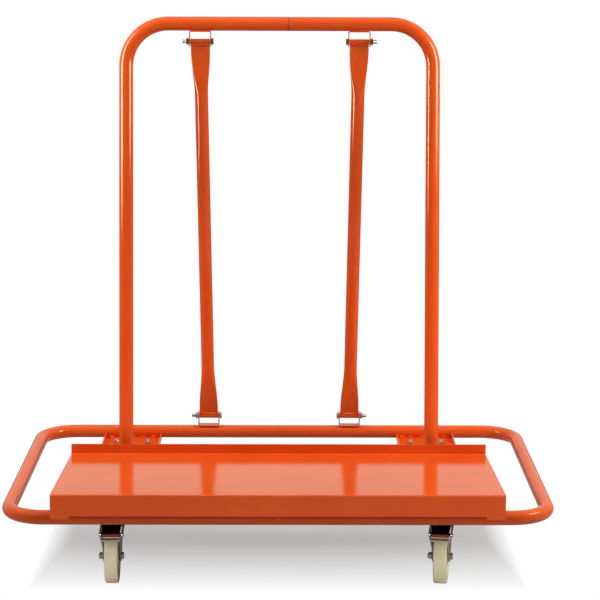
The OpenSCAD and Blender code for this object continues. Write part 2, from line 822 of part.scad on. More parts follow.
base_loop(-1);  // base_loop_left
base_loop(1);  // base_loop_right
cross_channel(-1);  // cross_channel_left
cross_channel(1);  // cross_channel_right
deck();
deck_bearer(-1);  // deck_bearer_left
deck_bearer(1);  // deck_bearer_right
hoop_left();
hoop_right();
foot_plate(-1);  // foot_plate_left
foot_plate(1);  // foot_plate_right
foot_bolts();
foot_nuts();
brace(-1);  // brace_left
brace(1);  // brace_right
brace_barrels(-1);  // brace_barrels_left
brace_barrels(1);  // brace_barrels_right
upper_brackets();
lower_brackets();
brace_bolts();
brace_nuts();
caster_bolts();
caster_nuts();
for (c = CASTERS) {
    caster_plate(c);
    kingpin(c);
    swivel_balls(c);
    fork(c);
    wheel(c);
    wheel_bush(c);
    axle_bolt(c);
    axle_nut(c);
    if (c[2] < 0) {
        brake_pedal(c);
        brake_pin(c);
    }
}
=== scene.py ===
"""Looks of a drywall cart.

Gloss orange tube frame, folded deck, zinc-plated casters and nylon wheels. Sizes are in millimetres
in the row frame and become metres where a mesh is made.
"""

from __future__ import annotations

import json
import logging
import math
from dataclasses import dataclass
from enum import Enum
from typing import Any, Iterable, Mapping, Sequence

import bmesh
import bpy
from mathutils import Matrix, Vector

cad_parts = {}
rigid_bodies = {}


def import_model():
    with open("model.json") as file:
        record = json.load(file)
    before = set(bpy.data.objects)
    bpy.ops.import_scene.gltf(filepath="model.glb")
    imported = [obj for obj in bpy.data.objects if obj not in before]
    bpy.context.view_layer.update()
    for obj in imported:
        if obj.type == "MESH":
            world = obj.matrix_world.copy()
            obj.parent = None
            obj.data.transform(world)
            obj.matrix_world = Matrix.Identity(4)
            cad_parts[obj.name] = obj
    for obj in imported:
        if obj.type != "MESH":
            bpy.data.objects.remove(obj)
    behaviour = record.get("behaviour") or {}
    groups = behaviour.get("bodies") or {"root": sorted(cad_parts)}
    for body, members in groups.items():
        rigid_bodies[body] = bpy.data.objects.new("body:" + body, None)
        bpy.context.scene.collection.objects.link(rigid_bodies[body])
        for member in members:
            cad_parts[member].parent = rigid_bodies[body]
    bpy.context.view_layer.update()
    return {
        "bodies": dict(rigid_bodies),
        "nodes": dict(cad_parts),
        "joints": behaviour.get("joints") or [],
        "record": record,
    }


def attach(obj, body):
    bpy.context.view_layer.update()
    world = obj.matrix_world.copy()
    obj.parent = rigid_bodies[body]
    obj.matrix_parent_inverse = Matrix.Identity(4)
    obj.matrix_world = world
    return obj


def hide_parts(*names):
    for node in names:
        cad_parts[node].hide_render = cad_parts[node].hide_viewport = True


LOG = logging.getLogger("drywall_cart")
MM = 0.001
WHITE = "#FFFFFF"
X_AXIS = Vector((1.0, 0.0, 0.0))
Z_AXIS = Vector((0.0, 0.0, 1.0))

# Thread pitch of the frame's bolts and of the axles, and the turn above which a ridge stays sharp
BOLT_PITCH = 1.25
AXLE_PITCH = 1.0
THREAD_SHARP_DEG = 30.0

# Sides and rows of a weld bead's mesh, and the share of its size that it starts and ends with
BEAD_SIDES = 10
ROWS_PER_RIPPLE = 4
BEAD_END = 0.45

Socket = bpy.types.NodeSocket
Tree = bpy.types.NodeTree
BMesh = bmesh.types.BMesh
Piece = bpy.types.Object
Point = tuple[float, float, float]
Span = tuple[float, float]
Colour = tuple[float, float, float, float]


class Side(Enum):
    """Side of the cart, with the sign of its X."""

    LEFT = -1
    RIGHT = 1

    @property
    def word(self) -> str:
        """Name of the side as the nodes spell it."""
        return self.name.lower()


class Corner(Enum):
    """Corner that a caster stands at, with the caster's turn at rest in degrees."""

    FRONT_LEFT = ("front_left", 1.0)
    FRONT_RIGHT = ("front_right", -8.0)
    REAR_LEFT = ("rear_left", 0.0)
    REAR_RIGHT = ("rear_right", 0.0)

    @property
    def word(self) -> str:
        """Name of the corner as the nodes spell it."""
        return self.value[0]

    @property
    def turn(self) -> float:
        """Turn of the fork at rest, in radians."""
        return math.radians(self.value[1])

    @property
    def braked(self) -> bool:
        """True for the two front casters, which carry brake pedals."""
        return self.word.startswith("front")


class Slot(Enum):
    """Slots of the record, and two of this scene alone: the deck's sheet and the pedals' painted
    shade.
    """

    PAINT = "orange_powder_coat"
    SHEET = "orange_sheet"
    ZINC = "zinc_plate"
    GRIP = "pedal_grip"
    STEEL = "plain_steel"
    NYLON = "nylon"


class Reach(Enum):
    """What a lamp's light reaches, with the state of its light link to some pieces."""

    ALL = ("all", "")
    PAST_LOOP = ("loop", "EXCLUDE")
    BRACES = ("braces", "INCLUDE")
    WELDS = ("welds", "INCLUDE")
    CASTERS = ("casters", "INCLUDE")

    @property
    def state(self) -> str:
        """Blender's word for the link."""
        return self.value[1]


def linear(hex_value: str) -> Colour:
    """Turn an sRGB hex colour into linear light.

    Args:
        hex_value: Colour as "#RRGGBB".

    Returns:
        Linear red, green and blue, and an alpha of 1.
    """
    parts = [int(hex_value[i:i + 2], 16) / 255 for i in (1, 3, 5)]
    lit = [c / 12.92 if c <= 0.04045 else ((c + 0.055) / 1.055) ** 2.4 for c in parts]
    return lit[0], lit[1], lit[2], 1.0


def add_node(
    tree: Tree, kind: str, inputs: Mapping[str | int, Any] | None = None, **settings: Any,
) -> bpy.types.Node:
    """Add a node with its settings, and set or link its inputs.

    Args:
        tree: Node tree that gets the node.
        kind: Blender's name of the node type.
        inputs: Values or sockets for the node's inputs, by name or number.
        **settings: Properties of the node.

    Returns:
        The new node.
    """
    made = tree.nodes.new(kind)
    for key, value in settings.items():
        setattr(made, key, value)
    for key, value in (inputs or {}).items():
        if isinstance(value, Socket):
            tree.links.new(value, made.inputs[key])
        else:
            made.inputs[key].default_value = value
    return made


def fresh_tree(owner: bpy.types.Material | bpy.types.World | bpy.types.Light) -> Tree:
    """Switch on the nodes of a material, world or lamp, and return its tree without any."""
    owner.use_nodes = True
    owner.node_tree.nodes.clear()
    return owner.node_tree


def ramp(tree: Tree, value: Socket, span: Span, to: Span = (0.0, 1.0)) -> Socket:
    """Socket of a value that is spread from one span over another, and held beyond the ends."""
    return add_node(tree, "ShaderNodeMapRange", {
        "Value": value, "From Min": span[0], "From Max": span[1],
        "To Min": to[0], "To Max": to[1]}).outputs["Result"]


def calc(tree: Tree, operation: str, *values: Socket | float) -> Socket:
    """Socket of one sum of sockets and numbers, by Blender's name of the operation."""
    return add_node(
        tree, "ShaderNodeMath", dict(enumerate(values)), operation=operation).outputs[0]


def blend(tree: Tree, share: Socket, first: Socket | Colour, second: Socket | Colour) -> Socket:
    """Socket of the colour between two others, by the share of the second."""
    return add_node(
        tree, "ShaderNodeMix", {0: share, 6: first, 7: second}, data_type="RGBA").outputs[2]


def mix(tree: Tree, share: Socket, first: Socket, second: Socket) -> Socket:
    """Socket of the mix of two shaders, by the share of the second."""
    return add_node(tree, "ShaderNodeMixShader", {0: share, 1: first, 2: second}).outputs[0]


def noise(tree: Tree, place: Socket, size_mm: float, detail: float, roughness: float) -> Socket:
    """Socket of a noise on Object coordinates whose features are this many millimetres wide."""
    return add_node(tree, "ShaderNodeTexNoise", {
        "Vector": place, "Scale": 1.0 / (size_mm * MM), "Detail": detail,
        "Roughness": roughness}).outputs["Fac"]


def parts_of(tree: Tree, source: str, output: str) -> Mapping[str, Socket]:
    """Sockets X, Y and Z of one output of a new node of the source's kind."""
    vector = add_node(tree, source).outputs[output]
    return add_node(tree, "ShaderNodeSeparateXYZ", {0: vector}).outputs


def mirror_ray(tree: Tree, path: bpy.types.Node) -> Socket:
    """Socket that is 1 for a ray from a mirror or through glass."""
    return calc(
        tree, "MAXIMUM", path.outputs["Is Glossy Ray"], path.outputs["Is Transmission Ray"])


@dataclass(frozen=True)
class Finish:
    """A finish: two close colours that drift into each other, a grain and a varying gloss.

    Attributes:
        name: Name of the material.
        colour: Main colour, sRGB.
        drift_colour: Colour that the main one drifts towards, sRGB.
        drift_mm: Width of the colour drift.
        grain_mm: Width of the surface grain.
        grain_height_mm: Height of the surface grain.
        haze_mm: Width of the patches that are more or less glossy.
        roughness: Least and greatest roughness.
    """

    name: str
    colour: str
    drift_colour: str
    drift_mm: float
    grain_mm: float
    grain_height_mm: float
    haze_mm: float
    roughness: Span

    def shader(self) -> dict[str, Any]:
        """Constant values for the shader's own sockets."""
        return {}

    def topped(self, tree: Tree, place: Socket, colour: Socket) -> Socket:
        """Colour with anything that lies over it; here nothing does."""
        return colour

    def relief(self, tree: Tree, place: Socket, grain: Socket) -> Socket:
        """Height of the surface, in heights of its grain; here there is only the grain."""
        return grain

    def build(self) -> bpy.types.Material:
        """Make the material.

        Returns:
            A node material on Object coordinates.
        """
        material = bpy.data.materials.new(self.name)
        tree = fresh_tree(material)
        place = add_node(tree, "ShaderNodeTexCoord").outputs["Object"]
        drift = noise(tree, place, self.drift_mm, detail=3.0, roughness=0.55)
        haze = noise(tree, place, self.haze_mm, detail=5.0, roughness=0.6)
        grain = noise(tree, place, self.grain_mm, detail=2.0, roughness=0.5)
        colour = blend(
            tree, ramp(tree, drift, (0.35, 0.65)), linear(self.colour), linear(self.drift_colour))
        bump = add_node(tree, "ShaderNodeBump", {
            "Height": self.relief(tree, place, grain), "Strength": 1.0,
            "Distance": self.grain_height_mm * MM})
        shader = add_node(tree, "ShaderNodeBsdfPrincipled", {
            "Base Color": self.topped(tree, place, colour),
            "Roughness": ramp(tree, haze, (0.3, 0.7), self.roughness),
            "Normal": bump.outputs["Normal"], **self.shader()})
        add_node(tree, "ShaderNodeOutputMaterial", {"Surface": shader.outputs["BSDF"]})
        return material


@dataclass(frozen=True)
class PowderCoat(Finish):
    """Gloss polyester powder coat, baked on steel: deep orange under a mirror gloss.

    Attributes:
        coat_roughness: Roughness of the top film.
    """

    name: str = "gloss_powder_coat"
    colour: str = "#E75819"
    drift_colour: str = "#E05115"
    drift_mm: float = 240.0
    # Real orange peel is 1 to 2 mm wide; it is drawn at 9 mm so that it shows in the reflections
    grain_mm: float = 9.0
    grain_height_mm: float = 0.0005
    haze_mm: float = 60.0
    roughness: Span = (0.32, 0.42)
    coat_roughness: float = 0.07

    def shader(self) -> dict[str, Any]:
        """Clear, hard top film over the pigment."""
        return {
            "IOR": 1.5, "Specular IOR Level": 0.0,
            "Coat Weight": 1.0, "Coat Roughness": self.coat_roughness, "Coat IOR": 1.5,
        }


@dataclass(frozen=True)
class SheetCoat(PowderCoat):
    """The same coat on folded sheet, which is never quite flat: what it mirrors is soft and wavers.

    Attributes:
        wave_mm: Width of the sheet's waves.
        wave_height_mm: Height of the waves.
    """

    name: str = "gloss_coat_on_sheet"
    coat_roughness: float = 0.13
    wave_mm: float = 150.0
    wave_height_mm: float = 0.35

    def relief(self, tree: Tree, place: Socket, grain: Socket) -> Socket:
        """Lay the grain over the waves of the sheet."""
        wave = noise(tree, place, self.wave_mm, detail=1.0, roughness=0.4)
        return calc(
            tree, "MULTIPLY_ADD", wave, self.wave_height_mm / self.grain_height_mm, grain)


@dataclass(frozen=True)
class Metal(Finish):
    """Bare or plated metal."""

    def shader(self) -> dict[str, Any]:
        """Plain metal."""
        return {"Metallic": 1.0}


@dataclass(frozen=True)
class ZincPlate(Metal):
    """Bright zinc plate on pressed steel: cool grey metal with soft cloudy patches."""

    name: str = "bright_zinc_plate"
    colour: str = "#C9CBCD"
    drift_colour: str = "#BABCBE"
    drift_mm: float = 14.0
    grain_mm: float = 2.5
    grain_height_mm: float = 0.01
    haze_mm: float = 9.0
    roughness: Span = (0.14, 0.24)


@dataclass(frozen=True)
class GrippedZinc(ZincPlate):
    """Dull zinc plate with painted shade: near-black over a pedal's upper part, its front edge
    bare.

    Attributes:
        grip_colour: Colour of the painted shade, sRGB.
        grip_from_mm: Height that the painted shade starts at.
    """

    name: str = "gripped_zinc_plate"
    roughness: Span = (0.42, 0.52)
    grip_colour: str = "#1E1A19"
    grip_from_mm: float = 115.0

    def topped(self, tree: Tree, place: Socket, colour: Socket) -> Socket:
        """Paint shade over the upper part of the pedal: near-black above a height."""
        height = add_node(tree, "ShaderNodeSeparateXYZ", {0: place}).outputs["Z"]
        blur = 0.5
        # Painted shade: near-black above this height stands in for the shadow and dark reflection
        # under the caster's crown
        painted_shade_mask = ramp(
            tree, height, ((self.grip_from_mm - blur) * MM, (self.grip_from_mm + blur) * MM))
        return blend(tree, painted_shade_mask, colour, linear(self.grip_colour))


@dataclass(frozen=True)
class BlackOxide(Metal):
    """Black-oxide turned steel: dark brown-black metal with a thin oil film."""

    name: str = "black_oxide_steel"
    colour: str = "#4A4744"
    drift_colour: str = "#3C3A38"
    drift_mm: float = 10.0
    grain_mm: float = 1.5
    grain_height_mm: float = 0.008
    haze_mm: float = 7.0
    roughness: Span = (0.28, 0.42)


@dataclass(frozen=True)
class CastNylon(Finish):
    """Moulded nylon: warm ivory, a little translucent, satin from the mould."""

    name: str = "moulded_nylon"
    colour: str = "#F0E8C2"
    drift_colour: str = "#E6DDB2"
    drift_mm: float = 26.0
    grain_mm: float = 3.0
    grain_height_mm: float = 0.02
    haze_mm: float = 12.0
    roughness: Span = (0.36, 0.48)

    def shader(self) -> dict[str, Any]:
        """Shallow scattering inside the plastic."""
        return {
            "IOR": 1.53, "Subsurface Weight": 0.15,
            "Subsurface Radius": (1.0, 0.8, 0.5), "Subsurface Scale": 0.003,
        }


@dataclass
class Dresser:
    """Holds the built materials, dresses CAD nodes and hangs new pieces on bodies.

    Attributes:
        nodes: CAD nodes by name.
        materials: Material of each slot.
    """

    nodes: dict[str, Piece]
    materials: dict[Slot, bpy.types.Material]

    def dress(self, slot: Slot, names: Iterable[str]) -> None:
        """Give CAD nodes the material of a slot.

        Args:
            slot: Slot whose material they get.
            names: Names of the nodes.
        """
        for name in names:
            node = self.nodes[name]
            if not node.material_slots:
                node.data.materials.append(None)
            for held in node.material_slots:
                held.material = self.materials[slot]
            LOG.info("dressed %s in %s", name, slot.value)

    def piece(
        self,
        name: str,
        bm: BMesh,
        slot: Slot,
        body: str = "frame",
        replaces: Iterable[str] = (),
        sharp_deg: float = 50.0,
    ) -> Piece:
        """Turn a finished bmesh into a piece that rides on a body.

        Args:
            name: Name of the piece.
            bm: Mesh in metres, in the row frame; it is freed.
            slot: Slot whose material the piece gets.
            body: Body that the piece moves with.
            replaces: CAD nodes that the piece stands for.
            sharp_deg: Edges that turn more than this stay sharp.

        Returns:
            The new object.
        """
        bmesh.ops.recalc_face_normals(bm, faces=bm.faces[:])
        mesh = bpy.data.meshes.new(name)
        bm.to_mesh(mesh)
        bm.free()
        mesh.polygons.foreach_set("use_smooth", [True] * len(mesh.polygons))
        mesh.set_sharp_from_angle(angle=math.radians(sharp_deg))
        mesh.materials.append(self.materials[slot])
        made = bpy.data.objects.new(name, mesh)
        bpy.context.scene.collection.objects.link(made)
        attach(made, body)
        for node in replaces:
            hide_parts(node)
        LOG.info("made %s with %d faces on %s", name, len(mesh.polygons), body)
        return made


def edges_at(verts: Iterable[bmesh.types.BMVert]) -> list[bmesh.types.BMEdge]:
    """Edges that meet these vertices, each once."""
    return list({edge for vert in verts for edge in vert.link_edges})


def next_ring(bm: BMesh, edges: list[bmesh.types.BMEdge]) -> tuple[list, list]:
    """Extrude a ring of edges.

    Args:
        bm: Mesh that holds the ring.
        edges: Edges of the ring.

    Returns:
        Vertices and edges of the new ring, which still lies on the old one.
    """
    geom = bmesh.ops.extrude_edge_only(bm, edges=edges)["geom"]
    verts = [g for g in geom if isinstance(g, bmesh.types.BMVert)]
    fresh = set(verts)
    ring = [g for g in geom if isinstance(g, bmesh.types.BMEdge) and fresh.issuperset(g.verts)]
    return verts, ring


@dataclass(frozen=True)
class Bead:
    """A rippled weld bead along a straight seam.

    Attributes:
        radius: Radius of the bead.
        wander: How far the bead strays to each side of the seam.
        ripple: Length of one ripple.
    """

    radius: float
    wander: float = 0.35
    ripple: float = 2.6

    def size(self, along: float, left: float, row: int) -> float:
        """Size of a row as a share of the radius: smaller near the ends, and rippled."""
        fade = min(1.0, BEAD_END + (1.0 - BEAD_END) * min(along, left) / self.radius)
        return fade * (1.0 + 0.16 * math.sin(math.tau * row / ROWS_PER_RIPPLE))

    def stray(self, along: float) -> float:
        """Distance of the middle from the seam: two waves whose lengths don't fit."""
        return self.wander * (math.sin(along / 4.1) + 0.6 * math.sin(along / 9.7 + 1.3))

    def lay(self, bm: BMesh, start: Vector, end: Vector) -> None:
        """Lay the bead.

        Args:
            bm: Mesh that gets the bead.
            start: First point of the bead's middle.
            end: Last point of the bead's middle.
        """
        run = end - start
        rows = ROWS_PER_RIPPLE * max(2, round(run.length / self.ripple))
        across = run.cross(Vector((0.0, 0.3, 1.0))).normalized()
        turn = run.to_track_quat("Z", "Y").to_matrix().to_4x4()
        at, size = start.copy(), BEAD_END
        made = bmesh.ops.create_circle(
            bm, cap_ends=True, segments=BEAD_SIDES, radius=size * self.radius * MM,
            matrix=Matrix.Translation(start * MM) @ turn)
        edges = edges_at(made["verts"])
        for row in range(1, rows + 1):
            share = row / rows
            along = share * run.length
            goal = start + run * share + across * self.stray(along)
            fresh_size = self.size(along, run.length - along, row)
            verts, edges = next_ring(bm, edges)
            bmesh.ops.translate(bm, verts=verts, vec=(goal - at) * MM)
            bmesh.ops.scale(
                bm, verts=verts, vec=[fresh_size / size] * 3,
                space=Matrix.Translation(-goal * MM))
            at, size = goal, fresh_size
        bmesh.ops.contextual_create(bm, geom=edges)


def lay_ring_bead(bm: BMesh, centre: Vector, axis: Vector, ring_r: float, radius: float) -> None:
    """Lay a rippled weld bead round a tube.

    Args:
        bm: Mesh that gets the bead.
        centre: Middle of the ring.
        axis: Direction of the tube.
        ring_r: Radius of the ring.
        radius: Radius of the bead.
    """
    axis = axis.normalized()
    outward = axis.orthogonal().normalized()
    side = axis.cross(outward)
    steps = 6 * max(12, round(ring_r / 2.0))
    turn = outward.cross(axis).to_track_quat("Z", "Y").to_matrix().to_4x4()
    made = bmesh.ops.create_circle(
        bm, segments=BEAD_SIDES, radius=radius * MM,
        matrix=Matrix.Translation((centre + outward * ring_r) * MM) @ turn)
    before = set(bm.verts) - set(made["verts"])
    bmesh.ops.spin(
        bm, geom=made["verts"] + edges_at(made["verts"]), cent=centre * MM, axis=axis,
        angle=math.tau, steps=steps, use_merge=True)
    for vert in set(bm.verts) - before:
        arm = vert.co / MM - centre
        angle = math.atan2(arm.dot(side), arm.dot(outward))
        middle = centre + ring_r * (outward * math.cos(angle) + side * math.sin(angle))
        swell = 1.0 + 0.12 * math.sin(angle * steps / ROWS_PER_RIPPLE)
        vert.co = (middle + (vert.co / MM - middle) * swell) * MM


def cut_thread(
    bm: BMesh, root: Vector, axis: Vector, radius: float, pitch: float, length: float,
) -> None:
    """Wind the ridges of a screw thread round the bare end of a bolt.

    Args:
        bm: Mesh that gets the thread.
        root: Where the bare end starts, on the bolt's axis.
        axis: Direction out along the bolt.
        radius: Radius of the bolt's shank.
        pitch: Distance from ridge to ridge.
        length: Length of the bare end.
    """
    axis = axis.normalized()
    outward = axis.orthogonal().normalized()
    turns = max(1.0, length / pitch - 1.0)
    per_turn = 20
    # Height above the shank in millimetres, and place along the bolt in pitches
    ridge = [(-0.04, 0.05), (0.22, 0.5), (-0.04, 0.95)]
    verts = [
        bm.verts.new((root + outward * (radius + r) + axis * (z * pitch)) * MM) for r, z in ridge]
    edges = [bm.edges.new(pair) for pair in zip(verts, verts[1:])]
    bmesh.ops.spin(
        bm, geom=verts + edges, cent=root * MM, axis=axis, dvec=axis * (pitch / per_turn * MM),
        angle=math.tau * turns, steps=round(turns * per_turn))


@dataclass
class TubeFrame:
    """Base loop of bent tube with two cross channels.

    Attributes:
        tube_r: Radius of the tube.
        rail_z: Height of the rails' middle.
        front_y: Place of the front rail.
        rear_y: Place of the rear rail.
        station_x: Distance of the channels from the middle.
        channel_w: Width of a channel.
        channel_floor: Height of a channel's upper face.
        channel_bead: Bead along a channel's end.
        bolt_r: Radius of the frame bolts.
        nut_h: Height of their nuts.
        bolt_spare: Length of thread beyond a nut.
    """

    tube_r: float = 15.0
    rail_z: float = 162.0
    front_y: float = -353.9
    rear_y: float = 356.1
    station_x: float = 347.0
    channel_w: float = 135.0
    channel_floor: float = 150.0
    channel_bead: Bead = Bead(3.2, 1.6, 4.2)
    bolt_r: float = 4.0
    nut_h: float = 6.4
    bolt_spare: float = 4.0

    def channel_welds(self, dresser: Dresser) -> None:
        """Weld the channels to the rails right across, by hand."""
        bm = bmesh.new()
        inset, gap, lift = 5.0, 1.4, 2.0
        drop = self.rail_z - self.channel_floor
        reach = math.sqrt(self.tube_r ** 2 - drop ** 2) + gap
        half = self.channel_w / 2 - inset
        z = self.channel_floor + lift
        for side in Side:
            x = side.value * self.station_x
            for y in (self.front_y + reach, self.rear_y - reach):
                self.channel_bead.lay(bm, Vector((x - half, y, z)), Vector((x + half, y, z)))
        dresser.piece("channel_welds", bm, Slot.PAINT)

    def seam_welds(self, dresser: Dresser) -> None:
        """Close the loop with a low weld round the middle of each rail."""
        bm = bmesh.new()
        bead_r, sink = 1.2, 0.7
        for y in (self.front_y, self.rear_y):
            lay_ring_bead(bm, Vector((0.0, y, self.rail_z)), X_AXIS, self.tube_r - sink, bead_r)
        dresser.piece("rail_seam_welds", bm, Slot.PAINT)

    def build(self, dresser: Dresser) -> None:
        """Dress the loop and its channels and add their welds."""
        for part in ("base_loop", "cross_channel"):
            dresser.dress(Slot.PAINT, [f"{part}_{side.word}" for side in Side])
        self.channel_welds(dresser)
        self.seam_welds(dresser)


@dataclass
class LippedDeck:
    """Sloping sheet deck with a front lip, a rear upstand and two bearers below it.

    Attributes:
        width: Width of the deck.
        tab_l: Length of the weld tabs at the lip's ends.
        lip_y: Front face of the lip.
        lip_t: Thickness of the sheet.
        tab_foot: Lower edge of the weld tabs.
        tab_bead: Bead along a tab's foot.
        bearer_w: Width of a bearer.
        bearer_from: Front end of the bearers.
        bearer_l: Length of the bearers.
        bearer_bead: Bead of a bearer's stitches.
    """

    width: float = 930.0
    tab_l: float = 39.0
    lip_y: float = -371.1
    lip_t: float = 2.0
    tab_foot: float = 163.5
    tab_bead: Bead = Bead(1.3)
    bearer_w: float = 60.0
    bearer_from: float = -173.9
    bearer_l: float = 210.0
    bearer_bead: Bead = Bead(2.0)

    def tab_welds(self, dresser: Dresser) -> None:
        """Weld the lip's tabs to the front rail."""
        bm = bmesh.new()
        inset, sink, gap = 2.0, 0.2, 0.6
        y, z = self.lip_y + self.lip_t - sink, self.tab_foot - gap
        for side in Side:
            inner = side.value * (self.width / 2 - self.tab_l + inset)
            outer = side.value * (self.width / 2 - inset)
            self.tab_bead.lay(bm, Vector((inner, y, z)), Vector((outer, y, z)))
        dresser.piece("lip_tab_welds", bm, Slot.PAINT)

    def bearer_welds(self, dresser: Dresser, frame: TubeFrame) -> None:
        """Stitch the bearers to the channel floors."""
        bm = bmesh.new()
        stitch, count, inset, gap = 32.0, 3, 10.0, 0.6
        step = (self.bearer_l - 2 * inset - stitch) / (count - 1)
        z = frame.channel_floor + self.bearer_bead.radius / 2
        for side in Side:
            for edge in (-1.0, 1.0):
                x = side.value * frame.station_x + edge * (self.bearer_w / 2 + gap)
                for i in range(count):
                    y = self.bearer_from + inset + i * step
                    self.bearer_bead.lay(bm, Vector((x, y, z)), Vector((x, y + stitch, z)))
        dresser.piece("bearer_welds", bm, Slot.PAINT)

    def build(self, dresser: Dresser, frame: TubeFrame) -> None:
        """Dress the deck and its bearers and add their welds."""
        dresser.dress(Slot.SHEET, ["deck"])
        dresser.dress(Slot.PAINT, [f"deck_bearer_{side.word}" for side in Side])
        self.tab_welds(dresser)
        self.bearer_welds(dresser, frame)


@dataclass
class Hoop:
    """Leaning hoop of two J-shaped tubes on bolted foot plates.

    Attributes:
        tube_r: Radius of the tube.
        foot_y: Place of the feet.
        foot_top: Upper face of the foot plates.
        pitch: Spacing of the foot bolts.
        nut_foot: Lower face of the foot nuts.
        joint: Middle of the slip joint.
    """

    tube_r: float = 15.9
    foot_y: float = 111.1
    foot_top: float = 155.0
    pitch: float = 66.0
    nut_foot: float = 140.6
    joint: Point = (19.3, 220.07, 1142.0)

    def joint_line(self, dresser: Dresser) -> None:
        """Run the dark line of the slip joint round the top bar."""
        bm = bmesh.new()
        line_r, sink = 1.15, 0.9
        lay_ring_bead(bm, Vector(self.joint), X_AXIS, self.tube_r - sink, line_r)
        dresser.piece("slip_joint_line", bm, Slot.STEEL)

    def foot_welds(self, dresser: Dresser, frame: TubeFrame) -> None:
        """Weld each post to its foot plate all round."""
        bm = bmesh.new()
        bead_r, lift, gap = 2.4, 0.8, 0.9
        for side in Side:
            centre = Vector((side.value * frame.station_x, self.foot_y, self.foot_top + lift))
            lay_ring_bead(bm, centre, Z_AXIS, self.tube_r + gap, bead_r)
        dresser.piece("post_foot_welds", bm, Slot.PAINT)

    def foot_threads(self, dresser: Dresser, frame: TubeFrame) -> None:
        """Thread the bare ends of the foot bolts."""
        bm = bmesh.new()
        half = self.pitch / 2
        for side in Side:
            for x in (-half, half):
                for y in (-half, half):
                    root = Vector((
                        side.value * frame.station_x + x, self.foot_y + y, self.nut_foot))
                    cut_thread(bm, root, -Z_AXIS, frame.bolt_r, BOLT_PITCH, frame.bolt_spare)
        dresser.piece("foot_bolt_threads", bm, Slot.ZINC, sharp_deg=THREAD_SHARP_DEG)

    def build(self, dresser: Dresser, frame: TubeFrame) -> None:
        """Dress the hoop and its feet and add welds, threads and the joint's line."""
        for part in ("hoop", "foot_plate"):
            dresser.dress(Slot.PAINT, [f"{part}_{side.word}" for side in Side])
        dresser.dress(Slot.ZINC, ["foot_bolts", "foot_nuts"])
        self.foot_welds(dresser, frame)
        self.foot_threads(dresser, frame)
        self.joint_line(dresser)


